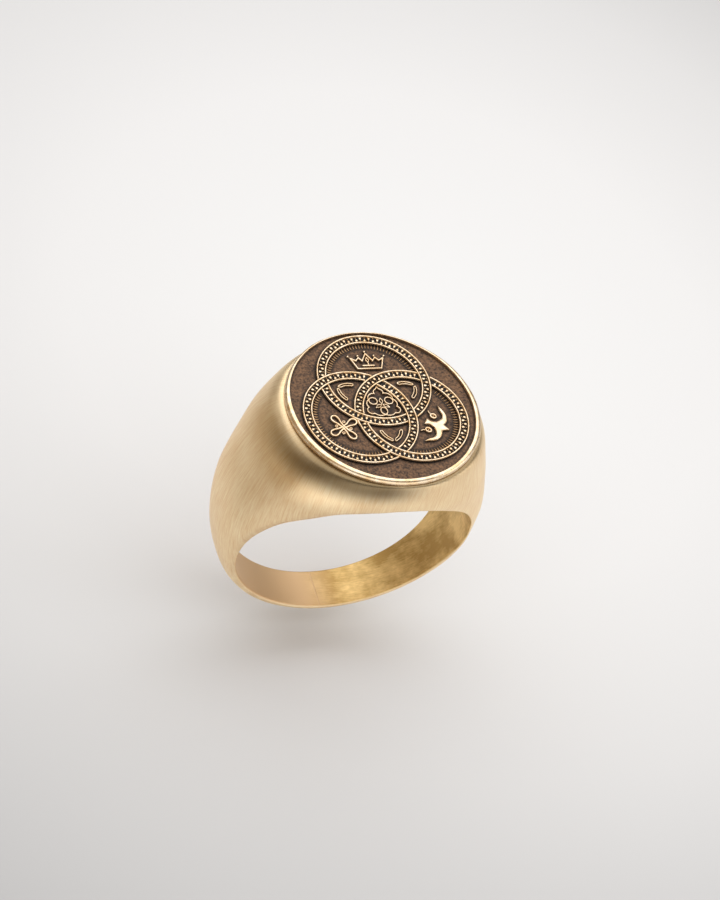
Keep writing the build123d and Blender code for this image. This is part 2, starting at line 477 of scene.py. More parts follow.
def spreadLoop(r, y, count):
    # even spacing along each loop, closer where it turns
    r = np.concatenate([r, r[:1]])
    y = np.concatenate([y, y[:1]])
    dr = np.diff(r)
    dy = np.diff(y)
    length = np.hypot(dr, dy)
    heading = np.unwrap(np.arctan2(dy, dr))
    turning = np.abs(np.diff(np.concatenate([heading[-1:] - 2 * math.pi * np.sign(heading[-1] - heading[0]),
                                             heading])))
    weight = length + 0.22 * np.minimum(turning, 0.5)
    track = np.concatenate([[0], np.cumsum(weight)])
    wanted = np.linspace(0, track[-1], count, endpoint=False)
    return np.interp(wanted, track, r), np.interp(wanted, track, y)


def fieldNormals(points):
    small = 0.01
    x, y, z = points.T
    slope = np.stack([
        bodyField(x + small, y, z) - bodyField(x - small, y, z),
        bodyField(x, y + small, z) - bodyField(x, y - small, z),
        bodyField(x, y, z + small) - bodyField(x, y, z - small),
    ], axis=1)
    return slope / (np.linalg.norm(slope, axis=1, keepdims=True) + 1e-12)


def bodyGrid(angles, rows):
    r, y = bodySections(angles)
    loops = []
    for i, angle in enumerate(angles):
        loopR, loopY = spreadLoop(r[i], y[i], rows)
        loops.append(np.stack([loopR * math.sin(angle), loopY, -loopR * math.cos(angle)], axis=1))
    return np.array(loops)


def evenAngles():
    # columns closer together where the outline stands further from the bore
    seamAngle = math.asin(seamHalf / (boreRadius + 0.3))
    fine = np.linspace(seamAngle, 2 * math.pi - seamAngle, 4000)
    reach = np.where(np.cos(fine) < 0, np.minimum(seatHeight / np.maximum(-np.cos(fine), 0.3), 12.5), 10.8)
    track = np.concatenate([[0], np.cumsum((reach[1:] + reach[:-1]) / 2 * np.diff(fine))])
    return np.interp(np.linspace(0, track[-1], bodyShape["columns"]), track, fine)


def brushCoordinates(points):
    # across the brush lines at full size, along them squeezed, so that noise turns into streaks
    x, y, z = points.T
    out = np.hypot(x, y) + 1e-6
    low = 1 - smoothStep(z, -7.0, -2.0)
    acrossX = 9.0 * x / out
    acrossY = 9.0 * y / out
    acrossX = acrossX * (1 - low) + 9.0 * np.sign(x) * low
    acrossY = acrossY * (1 - low) + y * low
    along = np.where(z > -6.5, z, -6.5 - (np.arctan2(np.abs(x), -z) - 0.85) * -9.0)
    outside = np.stack([acrossX, acrossY, along * 0.05], axis=1)
    turn = np.arctan2(x, -z) * boreRadius
    inside = np.stack([y + 0.15 * turn, np.full_like(y, 20.0), turn * 0.12], axis=1)
    onBore = (np.hypot(x, z) < boreRadius + 0.08)[:, None]
    return np.where(onBore, inside, outside)


def storeBoreWall(piece, points):
    # one on the wall of the bore, fading out over its rounded edges
    radius = np.hypot(points[:, 0], points[:, 2])
    storeAttribute(piece, "boreWall", 1 - smoothStep(radius, boreRadius + 0.03, boreRadius + 0.14))


paintedRimShadeShape = {
    # painted shade and dark reflection under the rim: degrees round the rim where it starts and is full,
    # then fades and ends; mm up where it starts and is full; strength
    "wide": (160, 222, 256, 290, 10.3, 12.2, 0.85),
    "thin": (250, 272, 325, 350, 12.6, 12.8, 0.75),
}


def paintedShadeUnderRim(points):
    # painted shade and dark reflection on the body, wide below the rim on the left and a thin painted shadow
    # line in front
    x, y, z = points.T
    turn = np.degrees(np.arctan2(y - rimCentre[1], x - rimCentre[0])) % 360
    streaks = []
    for start, full, fade, end, low, high, strength in paintedRimShadeShape.values():
        along = smoothStep(turn, start, full) * (1 - smoothStep(turn, fade, end))
        streaks.append(strength * along * smoothStep(z, low, high))
    return np.maximum(*streaks)


def makeBody():
    angles = evenAngles()
    rows = bodyShape["rows"]
    loops = bodyGrid(angles, rows)
    columns = len(angles)
    points = loops.reshape(-1, 3)
    faces = [f[::-1] for f in gridFaces(columns, rows, wrapColumns=True)]
    normals = fieldNormals(points)
    for end, flip in ((0, 1), (columns - 1, -1)):      # flat ends that face the seam
        centre = loops[end].mean(axis=0)
        hub = len(points)
        points = np.vstack([points, centre[None, :]])
        normals = np.vstack([normals, [[-flip, 0, 0]]])
        for j in range(rows):
            a = end * rows + j
            b = end * rows + (j + 1) % rows
            faces.append((hub, a, b) if flip > 0 else (hub, b, a))
    body = makePiece("ringBodyForm", points, faces, brushedGold, normals)
    storeAttribute(body, "brush", brushCoordinates(points))
    storeBoreWall(body, points)
    storeAttribute(body, "pinkSide", 1 - smoothStep(points[:, 0], -1.6, 2.6))
    # painted shade and dark reflection under the rim, fixed on the body
    storeAttribute(body, "paintedRimShade", paintedShadeUnderRim(points))
    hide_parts("ring_body")
    return body


body = makeBody()
print("body:", len(body.data.polygons), "faces")


def makeSeam():
    # the solder line, the stretch of band across the seam, cut from the same form as the band
    angle = math.asin(seamHalf / (boreRadius + 0.3))
    angles = np.linspace(-angle, angle, 5)
    rows = bodyShape["rows"]
    loops = bodyGrid(angles, rows)
    points = loops.reshape(-1, 3)
    faces = [f[::-1] for f in gridFaces(len(angles), rows, wrapColumns=True)]
    faces.append(tuple(range(rows)))
    faces.append(tuple(range((len(angles) - 1) * rows, len(angles) * rows))[::-1])
    seam = makePiece("solderSeamLine", points, faces, brushedGold)
    storeAttribute(seam, "brush", brushCoordinates(points) + 3.0)
    storeBoreWall(seam, points)
    storeAttribute(seam, "pinkSide", np.full(len(points), 0.9))
    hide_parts("shank_solder_seam")
    return seam


makeSeam()
print("seam ready")


rimShape = {
    # place across the rim from its inner wall to its widest line, height above the seat in mm
    "profile": [
        (0.0, 0.0), (0.8, 0.0), (0.86, 0.05), (0.84, 0.1), (0.92, 0.13), (0.98, 0.18), (1.0, 0.25),
        (0.99, 0.33), (0.93, 0.42), (0.82, 0.5), (0.66, 0.56), (0.48, 0.6), (0.3, 0.62), (0.16, 0.62),
        (0.07, 0.6), (0.02, 0.56), (0.0, 0.5), (0.0, 0.3),
    ],
    "segments": 360,
    "oval": (1.009, 0.982),
    "waver": 0.02,             # the rim was finished by hand
}


def makeRim():
    points = []
    turns = np.linspace(0, 2 * math.pi, rimShape["segments"], endpoint=False)
    for turn in turns:
        ray = np.array([math.cos(turn), math.sin(turn)])
        inner = plateCentre + plateRadius * ray
        outer = rimCentre + rimRadius * ray * np.array(rimShape["oval"])
        for share, height in rimShape["profile"]:
            sway = rimShape["waver"] * noise.noise(Vector((3 * ray[0], 3 * ray[1], height * 2)))
            spot = inner + (outer - inner) * share + ray * sway * (0 < share)
            points.append((spot[0], spot[1], seatHeight + height + (sway if height > 0.2 else 0)))
    faces = gridFaces(len(turns), len(rimShape["profile"]), wrapRows=True, wrapColumns=True)
    faces = [f[::-1] for f in faces]
    rim = makePiece("bezelRimForm", points, faces, polishedGold)
    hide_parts("bezel_rim")
    return rim


makeRim()
print("rim ready")


motif = {
    "centre": (-0.23, 0.34),
    "ringOffset": 2.485,
    "railOuter": 4.64,
    "railInner": 3.97,
    "railWidth": 0.2,
}
motifCentre = np.array(motif["centre"])
bandIn = motif["railInner"] - motif["railWidth"] / 2
bandOut = motif["railOuter"] + motif["railWidth"] / 2
reliefHeight = reliefTop - plateTop
reliefPoints = []          # for the dark halo on the plate


def ringCentre(degrees):
    turn = math.radians(degrees)
    return motifCentre + motif["ringOffset"] * np.array([math.cos(turn), math.sin(turn)])


bandShape = {
    # place across the rail in rail widths, height in relief heights
    "rail": [(0.0, -0.08), (0.0, 0.55), (0.08, 0.8), (0.25, 0.96), (0.5, 1.0), (0.75, 0.96), (0.92, 0.8),
             (1.0, 0.5), (1.03, 0.27)],
    "floor": 0.25,
    "columnStep": 0.09,
    "gap": 0.015,
    "railWidth": 0.15,
    "railInset": 0.025,
}


def makeBand(name, node, degrees, overDegrees):
    # two arcs of one band, cut where the next band crosses over it
    centre = ringCentre(degrees)
    other = ringCentre(overDegrees)
    apart = np.linalg.norm(other - centre)
    heading = math.atan2(*(other - centre)[::-1])
    rail = bandShape["rail"]
    width = bandShape["railWidth"]
    inset = bandShape["railInset"]
    inner = [(bandIn + inset + a * width, h) for a, h in rail]
    outer = [(bandOut - inset - a * width, h) for a, h in reversed(rail)]
    middle = [((bandIn + bandOut) / 2, bandShape["floor"])]
    profile = inner + middle + outer
    points = []
    faces = []
    for inside in (True, False):
        limit = bandIn - bandShape["gap"] if inside else bandOut + bandShape["gap"]
        columns = int((2.4 if inside else 4.2) * motif["railOuter"] / bandShape["columnStep"])
        start = len(points)
        for share in np.linspace(0, 1, columns):
            for radius, height in profile:
                cosine = (radius ** 2 + apart ** 2 - limit ** 2) / (2 * radius * apart)
                turn = math.acos(max(-1, min(1, cosine)))
                first, last = (-turn, turn) if inside else (turn, 2 * math.pi - turn)
                at = heading + first + (last - first) * share
                points.append((centre[0] + radius * math.cos(at), centre[1] + radius * math.sin(at),
                               plateTop + height * reliefHeight))
        count = len(profile)
        faces += gridFaces(columns, count, wrapColumns=True, start=start)
        faces.append(tuple(range(start, start + count))[::-1])
        faces.append(tuple(range(start + (columns - 1) * count, start + columns * count)))
    band = makePiece(name, points, faces, bandMetal)
    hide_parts(node)
    reliefPoints.extend(points[::3])
    return band


makeBand("crownBandForm", "band_crown_ring", 90, 210)
makeBand("crossBandForm", "band_cross_ring", 210, 330)
makeBand("birdBandForm", "band_dove_ring", 330, 90)
print("bands ready")


strokeShape = {
    # place across the stroke in half widths, height in stroke heights
    "profile": [(-1.0, -0.08), (-1.0, 0.5), (-0.85, 0.78), (-0.5, 0.95), (0.0, 1.0), (0.5, 0.95),
                (0.85, 0.78), (1.0, 0.5), (1.0, -0.08)],
    "step": 0.035,
}


def roundedPath(corners, closed):
    # a smooth run through the corners
    corners = np.array(corners, float)
    count = len(corners)
    spans = count if closed else count - 1
    path = []
    for i in range(spans):
        b = corners[i]
        c = corners[(i + 1) % count]
        a = corners[i - 1] if (closed or i > 0) else 2 * b - c
        d = corners[(i + 2) % count] if (closed or i + 2 < count) else 2 * c - b
        steps = max(2, int(np.linalg.norm(c - b) / strokeShape["step"]))
        for t in np.arange(steps) / steps:
            path.append(0.5 * (2 * b + (c - a) * t + (2 * a - 5 * b + 4 * c - d) * t * t
                               + (3 * b - a - 3 * c + d) * t ** 3))
    if not closed:
        path.append(corners[-1])
    return np.array(path)


def straightPath(corners, closed):
    corners = [np.array(c, float) for c in corners]
    if closed:
        corners.append(corners[0])
    path = []
    for a, b in zip(corners, corners[1:]):
        steps = max(2, int(np.linalg.norm(b - a) / (2 * strokeShape["step"])))
        path += [a + (b - a) * t for t in np.arange(steps) / steps]
    if not closed:
        path.append(corners[-1])
    return np.array(path)


def strokeMesh(path, width, height, closed):
    # an arched ridge along a flat path, its ends rounded when it is open
    path = np.array(path)
    if closed:
        ahead = np.roll(path, -1, axis=0)
        behind = np.roll(path, 1, axis=0)
    else:
        ahead = np.vstack([path[1:], 2 * path[-1:] - path[-2:-1]])
        behind = np.vstack([2 * path[:1] - path[1:2], path[:-1]])
    tangent = ahead - behind
    tangent /= np.linalg.norm(tangent, axis=1, keepdims=True) + 1e-9
    before = path - behind
    before /= np.linalg.norm(before, axis=1, keepdims=True) + 1e-9
    mitre = 1 / np.clip(np.abs((before * tangent).sum(axis=1)), 0.62, 1)
    side = np.stack([-tangent[:, 1], tangent[:, 0]], axis=1)
    track = np.concatenate([[0], np.cumsum(np.linalg.norm(np.diff(path, axis=0), axis=1))])
    half = width / 2
    if closed:
        shrink = np.ones(len(path))
    else:
        toEnd = np.minimum(track, track[-1] - track)
        shrink = np.sqrt(np.clip(1 - (1 - np.clip(toEnd / half, 0.02, 1)) ** 2, 0.03, 1))
    profile = strokeShape["profile"]
    points = []
    for at, normal, scale, wide in zip(path, side, shrink, mitre):
        for across, up in profile:
            spot = at + normal * across * half * scale * wide
            points.append((*spot, up * height * (0.55 + 0.45 * scale)))
    count = len(profile)
    faces = gridFaces(len(path), count, wrapRows=closed, wrapColumns=True)
    faces = [f[::-1] for f in faces]
    if not closed:
        faces.append(tuple(range(count)))
        faces.append(tuple(range((len(path) - 1) * count, len(path) * count))[::-1])
    return points, faces


def ovalPath(x, y, halfWidth, halfHeight, count):
    turn = np.linspace(0, 2 * math.pi, count, endpoint=False)
    return np.stack([x + halfWidth * np.cos(turn), y + halfHeight * np.sin(turn)], axis=1)


def joinStrokes(name, node, strokes, turns=(0,)):
    # all the strokes of one charge, repeated at each turn about the motif's centre
    points = []
    faces = []
    for degrees in turns:
        turn = math.radians(degrees)
        c, s = math.cos(turn), math.sin(turn)
        for strokePoints, strokeFaces in strokes:
            start = len(points)
            for x, y, z in strokePoints:
                points.append((motifCentre[0] + c * x - s * y, motifCentre[1] + s * x + c * y, plateTop + z))
            faces += [tuple(start + i for i in f) for f in strokeFaces]
    piece = makePiece(name, points, faces, polishedGold)
    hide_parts(node)
    reliefPoints.extend(points[::4])
    return piece


def domeMesh(radius, height, x, y, rings=5, around=14):
    points = [(x, y, height)]
    for i in range(1, rings + 1):
        tilt = math.pi / 2 * i / rings
        r = radius * math.sin(tilt)
        z = height * (0.45 + 0.55 * math.cos(tilt))
        points += [(x + r * math.cos(2 * math.pi * j / around), y + r * math.sin(2 * math.pi * j / around), z)
                   for j in range(around)]
    points += [(x + radius * math.cos(2 * math.pi * j / around),
                y + radius * math.sin(2 * math.pi * j / around), -0.02) for j in range(around)]
    faces = [(0, 1 + j, 1 + (j + 1) % around) for j in range(around)]
    faces += [f[::-1] for f in gridFaces(rings + 1, around, wrapColumns=True, start=1)]
    faces.append(tuple(range(1 + rings * around, 1 + (rings + 1) * around))[::-1])
    return points, faces


def mirrored(half):
    return list(half) + [(-x, y) for x, y in reversed(half[1:] if half[0][0] == 0 else half)]


crownShape = {
    "outline": [(0, 5.3), (0.44, 4.55), (0.7, 4.88), (0.98, 4.57), (1.4, 4.84), (1.0, 3.74)],
    # base line, stem and drop: corners, closed or not, line, height
    "inner": [
        ([(-0.56, 4.08), (0.56, 4.08)], False, 0.14, 0.18),
        ([(0, 4.1), (0, 4.4)], False, 0.12, 0.2),
        ([(0, 4.9), (0.13, 4.6), (0, 4.38), (-0.13, 4.6)], True, 0.1, 0.2),
    ],
    "balls": [(0, 5.53), (0.69, 5.1), (-0.69, 5.1), (1.53, 5.06), (-1.53, 5.06)],
    "ball": 0.1,
    "ballHeight": 0.2,
    "line": 0.14,
    "height": 0.22,
}


def makeCrown():
    shape = crownShape
    outline = straightPath(mirrored(shape["outline"]), True)
    strokes = [strokeMesh(outline, shape["line"], shape["height"], True)]
    for corners, closed, line, height in shape["inner"]:
        strokes.append(strokeMesh(straightPath(corners, closed), line, height, closed))
    strokes += [domeMesh(shape["ball"], shape["ballHeight"], x, y) for x, y in shape["balls"]]
    return joinStrokes("crownForm", "crown_charge", strokes)


makeCrown()

crossShape = {
    "distance": 4.42,
    "arm": [(0.14, 0.09), (0.5, 0.15), (0.85, 0.27), (1.15, 0.27), (1.33, 0.1)],
    "ring": (0.58, 0.1, 0.09, 0.17),     # away from the middle, radius, line, height
    "line": 0.16,
    "height": 0.22,
}


def turned(points, degrees, shiftX=0.0, shiftY=0.0):
    turn = math.radians(degrees)
    c, s = math.cos(turn), math.sin(turn)
    return [(shiftX + c * x - s * y, shiftY + s * x + c * y, *rest) for x, y, *rest in points]


def makeCross():
    shape = crossShape
    strokes = []
    outline = shape["arm"] + [(x, -y) for x, y in reversed(shape["arm"])]
    ringAway, ringRadius, ringLine, ringHeight = shape["ring"]
    ringPath = ovalPath(ringAway, 0, ringRadius, ringRadius, 14)
    for quarter in range(4):
        arm = strokeMesh(roundedPath(outline, True), shape["line"], shape["height"], True)
        strokes.append((turned(arm[0], 90 * quarter, shape["distance"]), arm[1]))
        loop = strokeMesh(ringPath, ringLine, ringHeight, True)
        strokes.append((turned(loop[0], 90 * quarter + 45, shape["distance"]), loop[1]))
    return joinStrokes("crossForm", "cross_charge", strokes, turns=(210,))


makeCross()

birdShape = {
    "outline": [
        (5.68, 0.0), (5.17, 0.33), (5.27, 0.8), (5.12, 1.3), (4.8, 1.68), (4.13, 2.05),
        (4.38, 1.64), (4.7, 1.28), (4.76, 0.85), (4.45, 0.32), (4.05, 0.2), (3.66, 0.34),
    ],
    "height": 0.24,
    "dome": 0.28,              # mm in from the edge over which the back rises
    "grain": 0.06,
    "curls": [(4.05, 0.8), (4.05, -0.8)],
    "curlTail": [(-0.12, 0.1), (-0.35, 0.2), (-0.5, 0.38)],
}


def fillOutline(outline, grain, height, dome):
    # a closed, domed solid inside a flat outline
    outline = np.array(outline)
    low = outline.min(axis=0)
    high = outline.max(axis=0)
    inner = []
    for i, x in enumerate(np.arange(low[0], high[0], grain * 0.87)):
        for y in np.arange(low[1] + (i % 2) * grain / 2, high[1], grain):
            inner.append((x, y))
    inner = np.array(inner)

    def edgeDistance(spots):
        a = outline
        b = np.roll(outline, -1, axis=0)
        best = np.full(len(spots), 1e9)
        for p, q in zip(a, b):
            d = q - p
            t = np.clip(((spots - p) @ d) / (d @ d + 1e-12), 0, 1)
            best = np.minimum(best, np.linalg.norm(spots - p - t[:, None] * d, axis=1))
        return best

    def contains(spots):
        a = outline
        b = np.roll(outline, -1, axis=0)
        inside = np.zeros(len(spots), bool)
        for p, q in zip(a, b):
            crosses = (p[1] > spots[:, 1]) != (q[1] > spots[:, 1])
            at = (q[0] - p[0]) * (spots[:, 1] - p[1]) / (q[1] - p[1] + 1e-12) + p[0]
            inside ^= crosses & (spots[:, 0] < at)
        return inside

    keep = contains(inner) & (edgeDistance(inner) > grain * 0.45)
    inner = inner[keep]
    flat = [Vector(p) for p in outline] + [Vector(p) for p in inner]
    border = [(i, (i + 1) % len(outline)) for i in range(len(outline))]
    spots, _, triangles, *_ = geometry.delaunay_2d_cdt(flat, border, [], 1, 1e-7)
    spots = np.array([tuple(p) for p in spots])
    rise = np.clip(edgeDistance(spots) / dome, 0, 1)
    top = height * (0.5 + 0.5 * np.sqrt(1 - (1 - rise) ** 2))
    points = [(x, y, z) for (x, y), z in zip(spots, top)]
    count = len(points)
    points += [(x, y, -0.02) for x, y in spots]
    faces = []
    edges = {}
    for triangle in triangles:
        a, b, c = triangle
        area = (spots[b][0] - spots[a][0]) * (spots[c][1] - spots[a][1])
        area -= (spots[c][0] - spots[a][0]) * (spots[b][1] - spots[a][1])
        loop = (a, b, c) if area > 0 else (a, c, b)
        faces.append(loop)
        faces.append(tuple(count + i for i in loop[::-1]))
        for p, q in zip(loop, loop[1:] + loop[:1]):
            edges[(p, q)] = edges.get((p, q), 0) + 1
    for p, q in list(edges):
        if (q, p) not in edges:
            faces.append((p, count + p, count + q, q))
    return points, faces


def birdOutline():
    # smooth between the tips, which stay sharp
    half = birdShape["outline"]
    tips = [0, 1, 5, 9, 11]
    path = []
    for first, last in zip(tips, tips[1:]):
        run = roundedPath(half[first:last + 1], False)
        path += [tuple(p) for p in run[:-1]]
    path.append(half[-1])
    other = [(x, -y) for x, y in reversed(path[1:])]
    return path + other


def makeBird():
    outline = birdOutline()
    parts = [fillOutline(outline, birdShape["grain"], birdShape["height"], birdShape["dome"])]
    for x, y in birdShape["curls"]:
        side = math.copysign(1, y)
        parts.append(strokeMesh(ovalPath(x + 0.05, y, 0.23, 0.2, 28), 0.15, 0.2, True))
        parts.append(domeMesh(0.06, 0.16, x + 0.05, y))
        tail = [(x + away, y + out * side) for away, out in birdShape["curlTail"]]
        parts.append(strokeMesh(roundedPath(tail, False), 0.1, 0.16, False))
    return joinStrokes("birdForm", "dove_charge", parts, turns=(-30,))


makeBird()

leafShape = {
    # tip, belly and tip of each side
    "outer": [(0.17, -3.74), (0.5, -3.52), (0.78, -3.18), (0.93, -2.8)],
    "inner": [(0.9, -2.68), (0.74, -2.72), (0.62, -2.98), (0.42, -3.3), (0.17, -3.52), (0.1, -3.66)],
    "line": 0.1,
    "height": 0.19,
}


def makeLeaves():
    shape = leafShape
    strokes = []
    path = roundedPath(shape["outer"] + shape["inner"], True)
    for side in (1, -1):
        run = path * np.array([side, 1])
        strokes.append(strokeMesh(run[::side], shape["line"], shape["height"], True))
    return joinStrokes("lensLeafForms", "lens_leaves", strokes, turns=(0, 120, 240))


makeLeaves()

rosetteShape = {
    # the points where lobes meet, from the top down the right side, and how far each lobe swells
    "cusps": [(0.38, 1.13), (1.02, 0.5), (1.17, -0.26), (0.86, -0.9), (0.0, -1.06)],
    "swell": [0.24, 0.17, 0.36, 0.17],
    "tip": [(0.0, 1.82), (0.12, 1.62), (0.3, 1.48), (0.4, 1.3), (0.38, 1.13)],
    "rings": [(-0.66, 0.38, 0.34, 0.34), (0.66, 0.38, 0.34, 0.34), (0, -0.66, 0.27, 0.36)],
    "petal": [(0.0, 0.06), (0.15, 0.32), (0.0, 0.66), (-0.15, 0.32)],
    "line": 0.11,
    "height": 0.2,
    "innerHeight": 0.18,
    "petalLine": 0.08,
    "petalHeight": 0.17,
}


def lobeArc(start, end, swell):
    # a round arc that stands out from the middle of the rosette
    start = np.array(start)
    end = np.array(end)
    middle = (start + end) / 2
    chord = end - start
    out = np.array([chord[1], -chord[0]]) / np.linalg.norm(chord)
    if out @ middle < 0:
        out = -out
    half = np.linalg.norm(chord) / 2
    radius = (half * half + swell * swell) / (2 * swell)
    centre = middle + out * (swell - radius)
    first = math.atan2(*(start - centre)[::-1])
    last = math.atan2(*(end - centre)[::-1])
    if last > first:
        last -= 2 * math.pi
    steps = max(4, int(radius * (first - last) / strokeShape["step"]))
    return [tuple(centre + radius * np.array([math.cos(t), math.sin(t)]))
            for t in np.linspace(first, last, steps)]


def makeRosette():
    shape = rosetteShape
    path = [tuple(p) for p in roundedPath(shape["tip"], False)[:-1]]
    for start, end, swell in zip(shape["cusps"], shape["cusps"][1:], shape["swell"]):
        path += lobeArc(start, end, swell)[:-1]
    path.append(shape["cusps"][-1])
    outline = path + [(-x, y) for x, y in reversed(path[1:-1])]
    frameStroke = strokeMesh(outline, shape["line"], shape["height"], True)
    joinStrokes("rosetteFrameForm", "rosette_frame", [frameStroke])
    rings = []
    for x, y, rx, ry in shape["rings"]:
        rings.append(strokeMesh(ovalPath(x, y, rx, ry, 32), shape["line"], shape["innerHeight"], True))
    joinStrokes("rosetteRingForms", "rosette_rings", rings)
    petals = []
    for turn in (0, 120, 240):
        petal = straightPath(turned(shape["petal"], turn, 0, 0.02), True)
        petals.append(strokeMesh(petal, shape["petalLine"], shape["petalHeight"], True))
    joinStrokes("rosettePetalForms", "rosette_petals", petals)


makeRosette()
print("charges ready")


def makeRowTree():
    # seeds set round a ring, each turned to it, those inside the two given zones left out
    tree = bpy.data.node_groups.new("seedsRoundRing", "GeometryNodeTree")
    face = tree.interface
    face.new_socket("Geometry", in_out="INPUT", socket_type="NodeSocketGeometry")
    names = ["Radius", "Centre X", "Centre Y", "Height", "First X", "First Y", "Second X", "Second Y",
             "Zone In", "Zone Out", "Alternate"]
    for name in names:
        face.new_socket(name, in_out="INPUT", socket_type="NodeSocketFloat")
    face.new_socket("Count", in_out="INPUT", socket_type="NodeSocketInt")
    face.new_socket("Seed", in_out="INPUT", socket_type="NodeSocketObject")
    face.new_socket("Material", in_out="INPUT", socket_type="NodeSocketMaterial")
    face.new_socket("Geometry", in_out="OUTPUT", socket_type="NodeSocketGeometry")
    given = addNode(tree, "NodeGroupInput").outputs
    ring = addNode(tree, "GeometryNodeCurvePrimitiveCircle", {"Resolution": 256}, {"Radius": given["Radius"]})
    spots = addNode(tree, "GeometryNodeCurveToPoints", {"mode": "COUNT"},
                    {"Curve": ring.outputs["Curve"], "Count": given["Count"]})
    where = addNode(tree, "GeometryNodeInputPosition")
    parts = addNode(tree, "ShaderNodeSeparateXYZ", {}, {0: where.outputs[0]})
    angle = addNode(tree, "ShaderNodeMath", {"operation": "ARCTAN2"},
                    {0: parts.outputs["Y"], 1: parts.outputs["X"]})
    order = addNode(tree, "GeometryNodeInputIndex")
    odd = addNode(tree, "ShaderNodeMath", {"operation": "MODULO", 1: 2.0}, {0: order.outputs[0]})
    flip = addNode(tree, "ShaderNodeMath", {"operation": "MULTIPLY"},
                   {0: odd.outputs[0], 1: given["Alternate"]})
    turn = addNode(tree, "ShaderNodeMath", {"operation": "ADD"}, {0: angle.outputs[0], 1: flip.outputs[0]})
    spin = addNode(tree, "ShaderNodeCombineXYZ", {}, {"Z": turn.outputs[0]})
    placed = addNode(tree, "GeometryNodeInstanceOnPoints", {},
                     {"Points": spots.outputs["Points"], "Rotation": spin.outputs[0]})
    seed = addNode(tree, "GeometryNodeObjectInfo", {}, {"Object": given["Seed"]})
    tree.links.new(seed.outputs["Geometry"], placed.inputs["Instance"])
    offset = addNode(tree, "ShaderNodeCombineXYZ", {},
                     {"X": given["Centre X"], "Y": given["Centre Y"], "Z": given["Height"]})
    moved = addNode(tree, "GeometryNodeSetPosition", {},
                    {"Geometry": placed.outputs["Instances"], "Offset": offset.outputs[0]})
    geometryOut = moved.outputs["Geometry"]
    for which in ("First", "Second"):
        other = addNode(tree, "ShaderNodeCombineXYZ", {},
                        {"X": given[which + " X"], "Y": given[which + " Y"], "Z": given["Height"]})
        away = addNode(tree, "ShaderNodeVectorMath", {"operation": "DISTANCE"},
                       {0: where.outputs[0], 1: other.outputs[0]})
        over = addNode(tree, "FunctionNodeCompare", {"operation": "GREATER_THAN"},
                       {0: away.outputs["Value"], 1: given["Zone In"]})
        under = addNode(tree, "FunctionNodeCompare", {"operation": "LESS_THAN"},
                        {0: away.outputs["Value"], 1: given["Zone Out"]})
        both = addNode(tree, "FunctionNodeBooleanMath", {"operation": "AND"},
                       {0: over.outputs[0], 1: under.outputs[0]})
        cut = addNode(tree, "GeometryNodeDeleteGeometry", {"domain": "INSTANCE"},
                      {"Geometry": geometryOut, "Selection": both.outputs[0]})
        geometryOut = cut.outputs["Geometry"]
    real = addNode(tree, "GeometryNodeRealizeInstances", {}, {"Geometry": geometryOut})
    painted = addNode(tree, "GeometryNodeSetMaterial", {},
                      {"Geometry": real.outputs["Geometry"], "Material": given["Material"]})
    addNode(tree, "NodeGroupOutput", {}, {"Geometry": painted.outputs["Geometry"]})
    return tree


rowTree = makeRowTree()


def makeRow(name, values):
    # one row of seeds as a plain mesh
    host = addObject(name + "Host", bpy.data.meshes.new(name + "Host"))
    modifier = host.modifiers.new("row", "NODES")
    modifier.node_group = rowTree
    sockets = {s.name: s.identifier for s in rowTree.interface.items_tree if s.in_out == "INPUT"}
    for key, value in values.items():
        modifier[sockets[key]] = value
    bpy.context.view_layer.update()
    graph = bpy.context.evaluated_depsgraph_get()
    mesh = bpy.data.meshes.new_from_object(host.evaluated_get(graph))
    host.modifiers.remove(modifier)
    bpy.data.objects.remove(host)
    mesh.name = name
    piece = addObject(name, mesh)
    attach(piece, "root")
    return piece


toothShape = {
    "count": 76,
    "length": 0.38,            # mm across the band
    "base": 0.25,
    "crown": 0.75,             # share of the size left at the top
    "height": 0.22,
    "bead": 0.042,
}


def makeToothSeed():
    # a flat-topped triangle with a bead off its point; every second one points the other way
    shape = toothShape
    half = shape["length"] / 2
    corners = [(-half, -shape["base"] / 2), (half * 0.55, 0), (-half, shape["base"] / 2)]
    middle = (-half * 0.5, 0)
    points = [(x, y, -0.01) for x, y in corners]
    points += [(x, y, shape["height"] * 0.7) for x, y in corners]
    points += [(middle[0] + (x - middle[0]) * shape["crown"], y * shape["crown"], shape["height"])
               for x, y in corners]
    faces = [(2, 1, 0), (6, 7, 8)]
    for low in (0, 3):
        faces += [(low + j, low + (j + 1) % 3, low + 3 + (j + 1) % 3, low + 3 + j) for j in range(3)]
    beadPoints, beadFaces = domeMesh(shape["bead"], shape["height"], half * 0.88, 0, 2, 6)
    start = len(points)
    points += beadPoints
    faces += [tuple(start + i for i in f) for f in beadFaces]
    return addObject("toothSeed", meshFrom("toothSeed", points, faces))


toothSeed = makeToothSeed()
bandMiddle = (bandIn + bandOut) / 2


def rowValues(degrees, zones, radius, count, seed, zoneIn, zoneOut, alternate):
    centre = ringCentre(degrees) * mm
    first = ringCentre(zones[0]) * mm
    second = ringCentre(zones[1]) * mm
    return {
        "Radius": radius * mm, "Count": count, "Centre X": centre[0], "Centre Y": centre[1],
        "Height": plateTop * mm, "First X": first[0], "First Y": first[1],
        "Second X": second[0], "Second Y": second[1], "Zone In": zoneIn * mm, "Zone Out": zoneOut * mm,
        "Alternate": alternate, "Seed": seed, "Material": polishedGold,
    }


for name, degrees, over in (("crown", 90, 210), ("cross", 210, 330), ("bird", 330, 90)):
    values = rowValues(degrees, (over, over), bandMiddle, toothShape["count"], toothSeed,
                       bandIn - 0.14, bandOut + 0.14, math.pi)
    makeRow(name + "BandTeeth", values)

tickShape = {
    "count": 88,               # fewer and wider than real so that they show
    "radius": 3.64,
    "length": 0.44,
    "width": 0.11,
    "height": 0.12,
}


